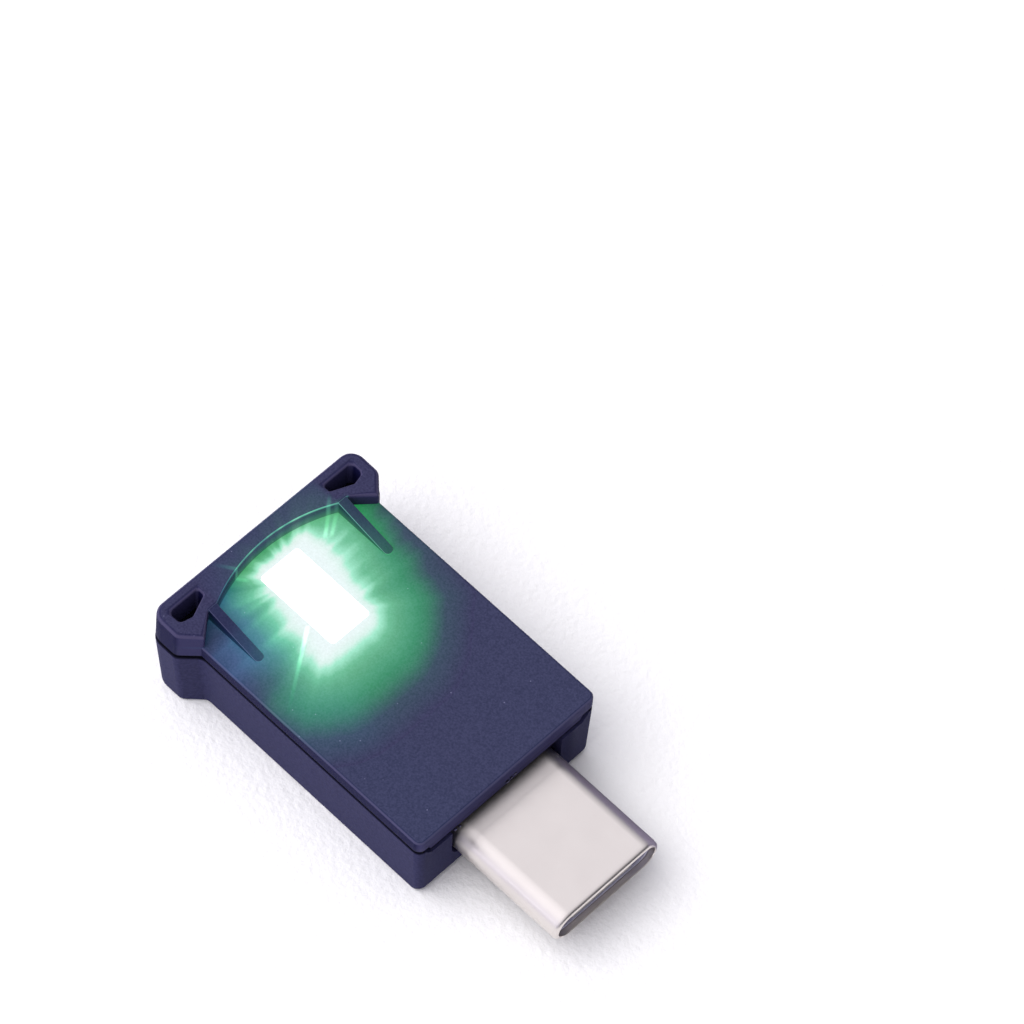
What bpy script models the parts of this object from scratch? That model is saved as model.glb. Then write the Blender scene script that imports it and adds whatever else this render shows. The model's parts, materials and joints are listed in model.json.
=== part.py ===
"""Plug-in LED mini light: a two-shell plastic body with a bare reversible plug on one end.

+X is the way the plug points, +Y is across the body and +Z is up. The origin is the middle of
the whole footprint, at the underside. Every length below is in millimetres, and new_object()
turns them into the metres that Blender works in.
"""

import math

import bmesh
import bpy

MM = 0.001

# Driving dimensions of the whole light
OVERALL_LENGTH = 28.8
PLUG_EXPOSED = 8.0
BODY_WIDTH = 14.0
LUG_SPAN = 16.2
PARTING_Z = 5.0
SEAM = 0.3
COVER_TOP = 6.1
BAR_TOP = 7.3
TIP_X = OVERALL_LENGTH / 2
END_X = -TIP_X
FRONT_X = TIP_X - PLUG_EXPOSED
HALF_WIDTH = BODY_WIDTH / 2
HALF_SPAN = LUG_SPAN / 2

# Moulded shells
WALL = 0.9
FLOOR = 0.8
DRAFT = 0.24
BOTTOM_ROUND = 0.2
TOP_ROUND = 0.2
CORNER_ROUND = 0.5
LUG_LENGTH = 2.2
LUG_ROUND = 0.95
NECK_ROUND = 0.7
BAR_MIDDLE = 1.05
BAR_INNER_X = END_X + LUG_LENGTH
RIB_Y = 5.09
RIB_THICK = 0.65
RIB_TIP_X = END_X + 6.2
LIP_DEPTH = 0.65
LIP_HALF_WIDTH = 6.3
LIP_CHAMFER = 0.45
RIM_DEPTH = 0.6
RIM_THICK = 0.3
POST_SIZE = 1.3
CLEAR = 0.1

# Lit window and the two lamps under it
WINDOW_X = END_X + 5.2
WINDOW_LENGTH = 6.0
WINDOW_WIDTH = 3.0
WINDOW_ROUND = 0.3
FLANGE_EDGE = 0.25
FLANGE_THICK = 0.3
LAMP_SIDE = 2.9
LAMP_HEIGHT = 1.6
LAMP_PITCH = 3.0
CUP_RADIUS = 1.2
CUP_DEPTH = 0.6

# Plug
PLUG_Z = 2.6
SHELL_WIDTH = 8.25
SHELL_HEIGHT = 2.4
SHELL_WALL = 0.3
SHELL_REAR_X = 2.45
SHELL_LIP = 0.12
INSULATOR_HEIGHT = 1.64
CAVITY_WIDTH = 6.7
CAVITY_HEIGHT = 1.24
INSULATOR_TIP_X = TIP_X - 0.35
CONTACT_PITCH = 0.5
CONTACT_WIDTH = 0.26
CONTACT_THICK = 0.12
CONTACT_TAIL_X = 0.4
CONTACT_TIP_X = TIP_X - 1.5
CONTACT_BOW = 0.2
REAR_BLOCK_LENGTH = 0.75
REAR_BLOCK_WIDTH = 9.2
REAR_BLOCK_HEIGHT = 2.5

# Circuit board and the parts soldered to it
BOARD_THICK = 0.6
BOARD_FRONT_X = 1.45
BOARD_EDGE_GAP = 0.25
CHIP = (1.6, 2.9, 1.05)
CHIP_X = -2.9
CHIP_LIFT = 0.12
LEAD_PITCH = 0.95
LEAD_WIDTH = 0.4
LEAD_THICK = 0.15
PASSIVE = (0.8, 1.6, 0.45)
CAPACITOR_HEIGHT = 0.8

ARC_STEPS = 5
BOARD_TOP = PLUG_Z + BOARD_THICK / 2
BOARD_BOTTOM = PLUG_Z - BOARD_THICK / 2


def clear_scene():
    for old in list(bpy.data.objects):
        bpy.data.objects.remove(old)


def plastic(name, colour, roughness=0.5):
    """A moulded or resin material of one colour."""
    return surface(name, colour, roughness, 0.0)


def metal(name, colour, roughness=0.3):
    return surface(name, colour, roughness, 1.0)


def surface(name, colour, roughness, metallic):
    made = bpy.data.materials.new(name)
    made.use_nodes = True
    shader = made.node_tree.nodes["Principled BSDF"]
    shader.inputs["Base Color"].default_value = (*colour, 1.0)
    shader.inputs["Roughness"].default_value = roughness
    shader.inputs["Metallic"].default_value = metallic
    made.diffuse_color = (*colour, 1.0)
    return made


def new_object(name, build, material, location=(0, 0, 0)):
    """An object whose mesh is what the bmesh function builds, in millimetres, about its own origin."""
    shape = bmesh.new()
    build(shape)
    bmesh.ops.recalc_face_normals(shape, faces=shape.faces)
    bmesh.ops.scale(shape, vec=(MM, MM, MM), verts=shape.verts)
    mesh = bpy.data.meshes.new(name)
    shape.to_mesh(mesh)
    shape.free()
    mesh.materials.append(material)
    mesh.shade_smooth()
    mesh.set_sharp_from_angle(angle=math.radians(35))
    return place(name, mesh, location)


def place(name, mesh, location):
    made = bpy.data.objects.new(name, mesh)
    made.location = [MM * part for part in location]
    bpy.context.collection.objects.link(made)
    return made


def cutter(name, build):
    """A helper solid that a Boolean subtracts."""
    made = new_object(name, build, CUTTING)
    made.hide_render = True
    made.display_type = "WIRE"
    return made


def combine(target, other, operation):
    joined = target.modifiers.new(other.name, "BOOLEAN")
    joined.operation = operation
    joined.object = other
    other.hide_render = True
    other.display_type = "WIRE"


def loft(shape, rings, closed=False):
    """Skins rings of equally many points. An open stack gets a cap on both ends."""
    made = [[shape.verts.new(point) for point in ring] for ring in rings]
    pairs = list(zip(made, made[1:]))
    if closed:
        pairs.append((made[-1], made[0]))
    else:
        shape.faces.new(made[0])
        shape.faces.new(made[-1])
    for low, high in pairs:
        for i in range(len(low)):
            j = (i + 1) % len(low)
            shape.faces.new((low[i], low[j], high[j], high[i]))


def along(axis, outline, level):
    """The points of a flat outline, put on the plane that stands at this level of an axis."""
    if axis == "X":
        return [(level, u, v) for u, v in outline]
    if axis == "Y":
        return [(u, level, v) for u, v in outline]
    return [(u, v, level) for u, v in outline]


def prism(shape, axis, outline, low, high):
    loft(shape, [along(axis, outline, low), along(axis, outline, high)])


def filleted(corners, steps=ARC_STEPS):
    """The outline through corners of (x, y, radius), with an arc of that radius in each corner."""
    outline = []
    for i, (x, y, radius) in enumerate(corners):
        before = corners[i - 1]
        after = corners[(i + 1) % len(corners)]
        come = math.atan2(y - before[1], x - before[0])
        leave = math.atan2(after[1] - y, after[0] - x)
        turn = (leave - come + math.pi) % (2 * math.pi) - math.pi
        if radius == 0 or abs(turn) < 1e-3:
            outline.append((x, y))
            continue
        side = math.copysign(1, turn)
        run = radius * math.tan(abs(turn) / 2)
        centre_x = x - run * math.cos(come) - side * radius * math.sin(come)
        centre_y = y - run * math.sin(come) + side * radius * math.cos(come)
        for step in range(steps + 1):
            angle = come + turn * step / steps - side * math.pi / 2
            point_x = centre_x + radius * math.cos(angle)
            point_y = centre_y + radius * math.sin(angle)
            outline.append((point_x, point_y))
    return outline


def inset(corners, distances):
    """Corners moved inwards. Edge i leaves corner i and moves by distances[i]."""
    moved = []
    for i, (x, y, radius) in enumerate(corners):
        before = corners[i - 1]
        after = corners[(i + 1) % len(corners)]
        come = math.atan2(y - before[1], x - before[0])
        leave = math.atan2(after[1] - y, after[0] - x)
        near = distances[i - 1]
        far = distances[i]
        bend = math.sin(leave - come)
        new_x = x + (near * math.cos(leave) - far * math.cos(come)) / bend
        new_y = y + (near * math.sin(leave) - far * math.sin(come)) / bend
        change = math.copysign(min(near, far), bend)
        moved.append((new_x, new_y, max(radius - change, 0.05)))
    return moved


def rectangle(low_x, low_y, high_x, high_y, radius=0.0):
    return [
        (high_x, low_y, radius),
        (high_x, high_y, radius),
        (low_x, high_y, radius),
        (low_x, low_y, radius),
    ]


def centred(length, width, radius=0.0):
    return rectangle(-length / 2, -width / 2, length / 2, width / 2, radius)


def block(shape, low, high):
    outline = filleted(rectangle(low[0], low[1], high[0], high[1]))
    prism(shape, "Z", outline, low[2], high[2])


def mirrored(half):
    """A closed run of corners from its half on the +Y side, which starts and ends off the X axis."""
    return half + [(x, -y, radius) for x, y, radius in reversed(half)]


def body_corners():
    """Plan of both shells: a rounded box whose far end widens into a lug on each side."""
    lug_front_x = BAR_INNER_X
    neck_x = lug_front_x + (HALF_SPAN - HALF_WIDTH)
    half = [
        (FRONT_X, HALF_WIDTH, CORNER_ROUND),
        (neck_x, HALF_WIDTH, NECK_ROUND),
        (lug_front_x, HALF_SPAN, 0.5),
        (END_X, HALF_SPAN, LUG_ROUND),
    ]
    return mirrored(half)


def sloped(corners, distance):
    """The plan moved in by a distance on every side but the front face, which stays upright."""
    front_edge = len(corners) - 1
    distances = [distance] * len(corners)
    distances[front_edge] = min(distance, 0.0)
    return inset(corners, distances)


def cavity_corners(margin):
    """Plan of the room inside the shells, narrower between the two lug slots."""
    half = [
        (FRONT_X - WALL, HALF_WIDTH - WALL, 0.4),
        (END_X + 2.75, HALF_WIDTH - WALL, 0.3),
        (END_X + 1.45, 4.2, 0.3),
    ]
    corners = mirrored(half)
    return inset(corners, [margin] * len(corners))


def stadium(width, height, centre_z=PLUG_Z, steps=8):
    """An oval of two half circles joined by flats, across the plug."""
    radius = height / 2
    flat = width / 2 - radius
    points = []
    for side in (1, -1):
        for step in range(steps + 1):
            angle = math.pi * (step / steps - side / 2)
            y = side * flat + radius * math.cos(angle)
            points.append((y, centre_z + radius * math.sin(angle)))
    return points


def slot_corners(side):
    """A lanyard slot: straight towards the end face, and wider towards the outside."""
    back_x = END_X + 0.75
    half = [
        (back_x, side * 4.95, 0.2),
        (back_x + 0.5, side * 4.95, 0.2),
        (back_x + 1.1, side * 6.35, 0.3),
        (back_x + 0.9, side * 7.15, 0.35),
        (back_x, side * 7.15, 0.35),
    ]
    return half if side > 0 else list(reversed(half))


def slot_cutter(side):
    def build(shape):
        prism(shape, "Z", filleted(slot_corners(side)), -1.0, BAR_TOP + 1.0)

    return cutter("slot_cutter_left" if side < 0 else "slot_cutter_right", build)


def bar_corners():
    """Plan of the raised end bar: straight outside, and an arc of the thumb's size inside."""
    lug_front_x = BAR_INNER_X
    neck_x = lug_front_x + (HALF_SPAN - HALF_WIDTH) + 0.05
    arc_half_width = 4.9
    sagitta = LUG_LENGTH - BAR_MIDDLE
    radius = (arc_half_width**2 + sagitta**2) / (2 * sagitta)
    reach = math.asin(arc_half_width / radius)
    centre_x = END_X + BAR_MIDDLE + radius
    arc = []
    for step in range(13):
        angle = reach * (1 - step / 6)
        arc.append((centre_x - radius * math.cos(angle), radius * math.sin(angle), 0.0))
    lug = [
        (END_X, HALF_SPAN, LUG_ROUND),
        (lug_front_x, HALF_SPAN, 0.5),
        (neck_x, HALF_WIDTH - 0.05, 0.1),
        (lug_front_x, 5.6, 0.3),
    ]
    other = [(x, -y, radius_here) for x, y, radius_here in reversed(lug)]
    return list(reversed(lug + arc + other))


def base_shell():
    """Lower shell: drafted walls, rounded bottom edge, a notch for the plug and the cover's lip."""
    plan = body_corners()
    top = PARTING_Z - SEAM / 2
    levels = []
    for step in range(4):
        angle = math.pi / 2 * step / 3
        rise = BOTTOM_ROUND * (1 - math.cos(angle))
        pull = BOTTOM_ROUND * (1 - math.sin(angle))
        levels.append((rise, pull + DRAFT * (1 - rise / PARTING_Z)))
    levels.append((top, DRAFT * SEAM / 2 / PARTING_Z))

    def outer(shape):
        loft(shape, [along("Z", filleted(sloped(plan, pull)), z) for z, pull in levels])

    def room(shape):
        prism(shape, "Z", filleted(cavity_corners(0.0)), FLOOR, PARTING_Z + 1)

    def plug_notch(shape):
        half = SHELL_WIDTH / 2 + 0.2
        bottom = PLUG_Z - SHELL_HEIGHT / 2 - CLEAR
        corners = [
            (half, PARTING_Z + 1, 0.0),
            (-half, PARTING_Z + 1, 0.0),
            (-half, bottom, SHELL_HEIGHT / 2),
            (half, bottom, SHELL_HEIGHT / 2),
        ]
        prism(shape, "X", filleted(corners), FRONT_X - WALL - 0.5, FRONT_X + 1)

    def lip_notch(shape):
        deep = PARTING_Z - LIP_DEPTH - 0.2
        wide = LIP_HALF_WIDTH + 0.15
        outline = [
            (wide + LIP_CHAMFER, PARTING_Z + 0.2),
            (-wide - LIP_CHAMFER, PARTING_Z + 0.2),
            (-wide + LIP_CHAMFER / 2, deep),
            (wide - LIP_CHAMFER / 2, deep),
        ]
        prism(shape, "X", outline, FRONT_X - WALL - 0.5, FRONT_X + 1)

    def posts(shape):
        corners = cavity_corners(0.0)
        for x in (FRONT_X - WALL - 5.6, END_X + 4.2):
            for y in (corners[0][1] - POST_SIZE / 2, POST_SIZE / 2 - corners[0][1]):
                low = (x, y - POST_SIZE / 2 - 0.1, FLOOR / 2)
                high = (x + POST_SIZE, y + POST_SIZE / 2 + 0.1, BOARD_BOTTOM - CLEAR)
                block(shape, low, high)

    made = new_object("base_shell", outer, CASE)
    combine(made, cutter("base_room", room), "DIFFERENCE")
    combine(made, cutter("plug_notch", plug_notch), "DIFFERENCE")
    combine(made, cutter("lip_notch", lip_notch), "DIFFERENCE")
    combine(made, cutter("board_posts", posts), "UNION")
    return made


def top_cover():
    """Upper shell: a flat plate with a raised bar, two wedge ribs, a locating rim and a front lip."""
    bottom = PARTING_Z + SEAM / 2
    plate_plan = rectangle(END_X + 0.4, -HALF_WIDTH, FRONT_X, HALF_WIDTH, CORNER_ROUND)

    def rounded_levels(low, high, radius):
        levels = [(low, 0.0)]
        for step in range(4):
            angle = math.pi / 2 * step / 3
            height = high - radius * (1 - math.sin(angle))
            levels.append((height, radius * (1 - math.cos(angle))))
        return levels

    def plate(shape):
        rings = []
        for z, pull in rounded_levels(bottom, COVER_TOP, TOP_ROUND):
            rings.append(along("Z", filleted(inset(plate_plan, [pull] * 4)), z))
        loft(shape, rings)

    def bar(shape):
        corners = bar_corners()
        rings = []
        for z, pull in rounded_levels(bottom, BAR_TOP, TOP_ROUND):
            pulls = [pull] * len(corners)
            rings.append(along("Z", filleted(inset_bar(corners, pulls)), z))
        loft(shape, rings)

    def rib(side):
        def build(shape):
            root_x = BAR_INNER_X - 0.4
            low = COVER_TOP - 0.2
            outline = [(root_x, low), (RIB_TIP_X, low), (RIB_TIP_X, COVER_TOP + 0.05)]
            outline += [(BAR_INNER_X, BAR_TOP - 0.1), (root_x, BAR_TOP - 0.1)]
            middle = side * RIB_Y
            prism(shape, "Y", outline, middle - RIB_THICK / 2, middle + RIB_THICK / 2)

        return build

    def lip(shape):
        deep = PARTING_Z - LIP_DEPTH
        outline = [
            (LIP_HALF_WIDTH, bottom + 0.2),
            (-LIP_HALF_WIDTH, bottom + 0.2),
            (-LIP_HALF_WIDTH, bottom),
            (-LIP_HALF_WIDTH + LIP_CHAMFER, deep),
            (LIP_HALF_WIDTH - LIP_CHAMFER, deep),
            (LIP_HALF_WIDTH, bottom),
        ]
        prism(shape, "X", outline, FRONT_X - WALL, FRONT_X - 0.12)

    def rim(shape):
        outer = filleted(cavity_corners(CLEAR))
        inner = filleted(cavity_corners(CLEAR + RIM_THICK))
        levels = (PARTING_Z - RIM_DEPTH, bottom + 0.2)
        rings = [along("Z", outer, z) for z in levels]
        rings += [along("Z", inner, z) for z in reversed(levels)]
        loft(shape, rings, closed=True)

    def window(shape):
        plan = centred(WINDOW_LENGTH + 2 * CLEAR, WINDOW_WIDTH + 2 * CLEAR, WINDOW_ROUND)
        outline = [(x + WINDOW_X, y) for x, y in filleted(plan)]
        prism(shape, "Z", outline, PARTING_Z - 0.5, COVER_TOP + 0.5)

    made = new_object("top_cover", plate, CASE)
    combine(made, new_object("cover_bar", bar, CASE), "UNION")
    for side, label in ((-1, "left"), (1, "right")):
        combine(made, new_object("cover_rib_" + label, rib(side), CASE), "UNION")
    combine(made, new_object("cover_rim", rim, CASE), "UNION")
    combine(made, new_object("cover_lip", lip, CASE), "UNION")
    combine(made, cutter("window_cutter", window), "DIFFERENCE")
    return made


def inset_bar(corners, pulls):
    """As inset(), for the bar, whose arc is points on one line or nearly so."""
    moved = []
    for i, (x, y, radius) in enumerate(corners):
        before = corners[i - 1]
        after = corners[(i + 1) % len(corners)]
        come = math.atan2(y - before[1], x - before[0])
        leave = math.atan2(after[1] - y, after[0] - x)
        turn = (leave - come + math.pi) % (2 * math.pi) - math.pi
        middle = come + turn / 2 + math.pi / 2
        reach = pulls[i] / math.cos(turn / 2)
        change = math.copysign(pulls[i], turn) if radius else 0.0
        new_radius = max(radius - change, 0.05) if radius else 0.0
        moved.append((x + reach * math.cos(middle), y + reach * math.sin(middle), new_radius))
    return moved


def light_window():
    """Frosted insert, flush with the cover, with a flange that keeps it from falling out."""

    def insert(shape):
        outline = filleted(centred(WINDOW_LENGTH, WINDOW_WIDTH, WINDOW_ROUND))
        wide = filleted(
            centred(
                WINDOW_LENGTH + 2 * FLANGE_EDGE,
                WINDOW_WIDTH + 2 * FLANGE_EDGE,
                WINDOW_ROUND + FLANGE_EDGE,
            )
        )
        seat = PARTING_Z + SEAM / 2 - CLEAR
        rings = [
            along("Z", wide, seat - FLANGE_THICK),
            along("Z", wide, seat),
            along("Z", outline, seat),
            along("Z", outline, COVER_TOP - 0.02),
        ]
        loft(shape, rings)

    return new_object("light_window", insert, FROSTED, (WINDOW_X, 0, 0))


def circuit_board():
    corners = cavity_corners(BOARD_EDGE_GAP)
    plan = [(min(x, BOARD_FRONT_X), y, radius) for x, y, radius in corners]

    def build(shape):
        prism(shape, "Z", filleted(plan), BOARD_BOTTOM, BOARD_TOP)

    return new_object("circuit_board", build, LAMINATE)


def ring_points(radius, steps=24):
    turn = 2 * math.pi / steps
    return [(radius * math.cos(i * turn), radius * math.sin(i * turn)) for i in range(steps)]


def lamps():
    """Two square lamp packages in a row under the window, each with resin in its cup."""
    low = BOARD_TOP + CLEAR
    top = low + LAMP_HEIGHT

    def package(shape):
        prism(shape, "Z", filleted(centred(LAMP_SIDE, LAMP_SIDE, 0.15), 2), 0.0, LAMP_HEIGHT)

    def cup(shape):
        floor = [(x * 0.85, y * 0.85, LAMP_HEIGHT - CUP_DEPTH) for x, y in ring_points(CUP_RADIUS)]
        mouth = [(x * 1.03, y * 1.03, LAMP_HEIGHT + 0.1) for x, y in ring_points(CUP_RADIUS)]
        loft(shape, [floor, mouth])

    def resin(shape):
        small = CUP_RADIUS - 2 * CLEAR
        floor = [(x * 0.88, y * 0.88, 0.0) for x, y in ring_points(small)]
        mouth = [(x, y, CUP_DEPTH - CLEAR) for x, y in ring_points(small)]
        loft(shape, [floor, mouth])

    for label, side in (("rear", -1), ("front", 1)):
        spot = (WINDOW_X + side * LAMP_PITCH / 2, 0, low)
        body = new_object("lamp_body_" + label, package, LAMP_WHITE, spot)
        tool = new_object("lamp_cup_" + label, cup, CUTTING, spot)
        combine(body, tool, "DIFFERENCE")
        new_object("lamp_resin_" + label, resin, RESIN, (spot[0], 0, top - CUP_DEPTH + CLEAR / 2))


def ribbon(path, thickness):
    """The closed outline of a strip of this thickness that follows a path of (u, v) points."""
    left = []
    right = []
    for i, (u, v) in enumerate(path):
        u0, v0 = path[max(i - 1, 0)]
        u1, v1 = path[min(i + 1, len(path) - 1)]
        length = math.hypot(u1 - u0, v1 - v0)
        step_u = -(v1 - v0) / length * thickness / 2
        step_v = (u1 - u0) / length * thickness / 2
        left.append((u + step_u, v + step_v))
        right.append((u - step_u, v - step_v))
    return left + right[::-1]


def strip(name, path, thickness, axis, middle, width, material):
    """A bent metal strip: its path lies across an axis, and its width runs along that axis."""

    def build(shape):
        outline = ribbon(path, thickness)
        prism(shape, axis, outline, middle - width / 2, middle + width / 2)

    return new_object(name, build, material)


def control_chip():
    """Six-lead chip with a gull-wing lead at each of its six places."""
    length, width, height = CHIP
    low = BOARD_TOP + CLEAR + CHIP_LIFT

    def body(shape):
        waist = filleted(centred(length, width))
        ends = filleted(centred(length - 0.16, width - 0.16))
        rings = [
            along("Z", ends, 0.0),
            along("Z", waist, height * 0.42),
            along("Z", waist, height * 0.55),
            along("Z", ends, height),
        ]
        loft(shape, rings)

    new_object("control_chip", body, CHIP_BLACK, (CHIP_X, 0, low))
    foot = BOARD_TOP + CLEAR + LEAD_THICK / 2
    shoulder = low + height * 0.48
    for side, label in ((-1, "rear"), (1, "front")):
        for row in (-1, 0, 1):
            start = CHIP_X + side * (length / 2 + CLEAR)
            path = [
                (start, shoulder),
                (start + side * 0.2, shoulder),
                (start + side * 0.34, foot),
                (start + side * 0.66, foot),
            ]
            if side < 0:
                path.reverse()
            name = "chip_lead_{}_{}".format(label, row + 2)
            strip(name, path, LEAD_THICK, "Y", row * LEAD_PITCH, LEAD_WIDTH, TINNED)


def passives():
    """Two resistors and a capacitor: a block whose two ends are capped with solderable metal."""
    length, width, height = PASSIVE
    low = BOARD_TOP + CLEAR
    places = (
        ("resistor_left", (-2.9, -3.9), height, RESISTOR),
        ("resistor_right", (-2.9, 3.9), height, RESISTOR),
        ("capacitor", (-0.6, 3.9), CAPACITOR_HEIGHT, CERAMIC),
    )
    for name, (x, y), tall, material in places:

        def build(shape, tall=tall):
            prism(shape, "Z", filleted(centred(length, width, 0.1), 2), 0.0, tall)

        new_object(name, build, material, (x, y, low))


def plug_shell():
    """Drawn oval shell. Its mouth is rolled in by a small step, and its bore runs right through."""

    def build(shape):
        outer = stadium(SHELL_WIDTH, SHELL_HEIGHT)
        rolled = stadium(SHELL_WIDTH - 2 * SHELL_LIP, SHELL_HEIGHT - 2 * SHELL_LIP)
        bore_width = SHELL_WIDTH - 2 * SHELL_WALL
        bore = stadium(bore_width, SHELL_HEIGHT - 2 * SHELL_WALL)
        rings = [
            along("X", outer, SHELL_REAR_X),
            along("X", outer, TIP_X - 0.3),
            along("X", rolled, TIP_X),
            along("X", bore, TIP_X),
            along("X", bore, SHELL_REAR_X),
        ]
        loft(shape, rings, closed=True)

    return new_object("plug_shell", build, STEEL)


def plug_insulator():
    """Moulding inside the shell, hollow from end to end for the socket's tongue."""

    def build(shape):
        outer = stadium(SHELL_WIDTH - 2 * SHELL_WALL - 0.16, INSULATOR_HEIGHT)
        half = CAVITY_HEIGHT / 2
        bore = stadium(CAVITY_WIDTH, CAVITY_HEIGHT)
        rings = [
            along("X", outer, SHELL_REAR_X + half),
            along("X", outer, INSULATOR_TIP_X),
            along("X", bore, INSULATOR_TIP_X),
            along("X", bore, SHELL_REAR_X + half),
        ]
        loft(shape, rings, closed=True)

    return new_object("plug_insulator", build, MOULDING)


def plug_rear_block():
    """Frame behind the shell that the contact tails pass through."""

    def build(shape):
        half_width = REAR_BLOCK_WIDTH / 2
        half_height = REAR_BLOCK_HEIGHT / 2
        corners = rectangle(
            -half_width, PLUG_Z - half_height, half_width, PLUG_Z + half_height, 0.3
        )
        outer = filleted(corners, 2)
        half_high = CAVITY_HEIGHT / 2 + 0.05
        half_wide = CAVITY_WIDTH / 2
        hole = filleted(rectangle(-half_wide, PLUG_Z - half_high, half_wide, PLUG_Z + half_high, 0.2), 2)
        front = SHELL_REAR_X - CLEAR
        back = front - REAR_BLOCK_LENGTH
        rings = [
            along("X", outer, back),
            along("X", outer, front),
            along("X", hole, front),
            along("X", hole, back),
        ]
        loft(shape, rings, closed=True)

    return new_object("plug_rear_block", build, MOULDING)


def contacts():
    """The fitted contacts: four ground, four supply and one configuration contact."""
    lift = BOARD_THICK / 2 + CLEAR + CONTACT_THICK / 2
    rows = (("upper", 1, (1, 4, 5, 9, 12)), ("lower", -1, (1, 4, 9, 12)))
    for row, side, numbers in rows:
        for number in numbers:
            height = PLUG_Z + side * lift
            bowed = height - side * CONTACT_BOW
            path = [
                (CONTACT_TAIL_X, height),
                (CONTACT_TIP_X - 2.4, height),
                (CONTACT_TIP_X - 0.7, bowed),
                (CONTACT_TIP_X - 0.3, bowed),
                (CONTACT_TIP_X, height - side * 0.05),
            ]
            y = side * (number - 6.5) * CONTACT_PITCH
            name = "contact_{}_{}".format(row, number)
            strip(name, path, CONTACT_THICK, "Y", y, CONTACT_WIDTH, GOLD)


def latches():
    """Side springs that click into the socket's tongue, one along each side of the bore."""
    rest = CAVITY_WIDTH / 2 - 0.25
    for side, label in ((-1, "left"), (1, "right")):
        path = [
            (SHELL_REAR_X + 1.0, side * rest),
            (CONTACT_TIP_X - 1.9, side * rest),
            (CONTACT_TIP_X - 0.4, side * (rest - 0.22)),
            (CONTACT_TIP_X + 0.2, side * (rest - 0.02)),
        ]
        strip("latch_spring_" + label, path, 0.14, "Z", PLUG_Z, 0.3, STEEL)


def ground_springs():
    """Spring strips just inside the mouth, above and below, that press on the socket's shell."""
    start = CONTACT_TIP_X + 0.45
    for side, label in ((1, "upper"), (-1, "lower")):
        rest = PLUG_Z + side * (CAVITY_HEIGHT / 2 - 0.12)
        path = [(start, rest - side * 0.02), (start + 0.3, rest - side * 0.1), (start + 0.65, rest)]
        strip("ground_spring_" + label, path, 0.1, "Y", 0.0, CAVITY_WIDTH - 2.0, STEEL)


clear_scene()
CASE = plastic("case_black", (0.045, 0.045, 0.075), 0.55)
CUTTING = plastic("cutting_helper", (0.8, 0.2, 0.2))
FROSTED = plastic("window_frosted", (0.8, 0.95, 0.88), 0.4)
LAMINATE = plastic("board_laminate", (0.02, 0.12, 0.05), 0.5)
LAMP_WHITE = plastic("lamp_white", (0.8, 0.8, 0.76), 0.5)
RESIN = plastic("lamp_resin", (0.75, 0.85, 0.55), 0.2)
CHIP_BLACK = plastic("chip_epoxy", (0.02, 0.02, 0.02), 0.6)
RESISTOR = plastic("resistor_black", (0.03, 0.03, 0.03), 0.5)
CERAMIC = plastic("capacitor_ceramic", (0.45, 0.3, 0.18), 0.5)
MOULDING = plastic("plug_moulding", (0.02, 0.02, 0.025), 0.5)
STEEL = metal("plug_steel", (0.78, 0.76, 0.74), 0.28)
GOLD = metal("contact_gold", (0.9, 0.68, 0.3), 0.25)
TINNED = metal("lead_tinned", (0.7, 0.7, 0.7), 0.35)

lower = base_shell()
upper = top_cover()
for slot_side in (-1, 1):
    slot = slot_cutter(slot_side)
    combine(lower, slot, "DIFFERENCE")
    combine(upper, slot, "DIFFERENCE")
light_window()
circuit_board()
lamps()
control_chip()
passives()
plug_shell()
plug_insulator()
plug_rear_block()
contacts()
latches()
ground_springs()
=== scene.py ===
"""Looks of a plug-in mini light: a matte plastic body in two shells, a lit window and a bare plug.

Lengths are in millimetres until solid() puts them into a mesh in metres. The plug points along
+X, and left means -Y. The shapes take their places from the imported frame, and each moulded piece
is skinned from plan outlines.
"""

import json
import math

import bpy
import numpy as np
from mathutils import Matrix, Vector


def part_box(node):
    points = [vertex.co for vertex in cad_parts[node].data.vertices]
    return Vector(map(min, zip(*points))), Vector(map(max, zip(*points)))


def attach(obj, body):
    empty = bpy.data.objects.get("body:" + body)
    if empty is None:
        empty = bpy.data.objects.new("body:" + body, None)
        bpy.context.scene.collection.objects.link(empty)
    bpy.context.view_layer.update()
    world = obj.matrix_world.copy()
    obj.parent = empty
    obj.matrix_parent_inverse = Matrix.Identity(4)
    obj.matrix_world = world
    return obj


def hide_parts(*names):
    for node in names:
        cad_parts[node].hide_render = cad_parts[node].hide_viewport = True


MM = 0.001
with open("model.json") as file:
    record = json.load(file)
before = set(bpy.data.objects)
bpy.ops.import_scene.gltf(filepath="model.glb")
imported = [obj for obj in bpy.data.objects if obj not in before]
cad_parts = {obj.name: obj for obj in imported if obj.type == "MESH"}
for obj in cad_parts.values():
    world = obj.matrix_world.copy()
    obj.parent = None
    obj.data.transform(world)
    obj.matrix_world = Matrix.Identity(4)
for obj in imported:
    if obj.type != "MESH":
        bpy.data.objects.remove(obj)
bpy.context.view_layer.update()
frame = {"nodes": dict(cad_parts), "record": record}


def millimetres(node):
    """The lowest and highest corner of a CAD node, in millimetres."""
    low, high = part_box(node)
    return np.array(low) / MM, np.array(high) / MM


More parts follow.
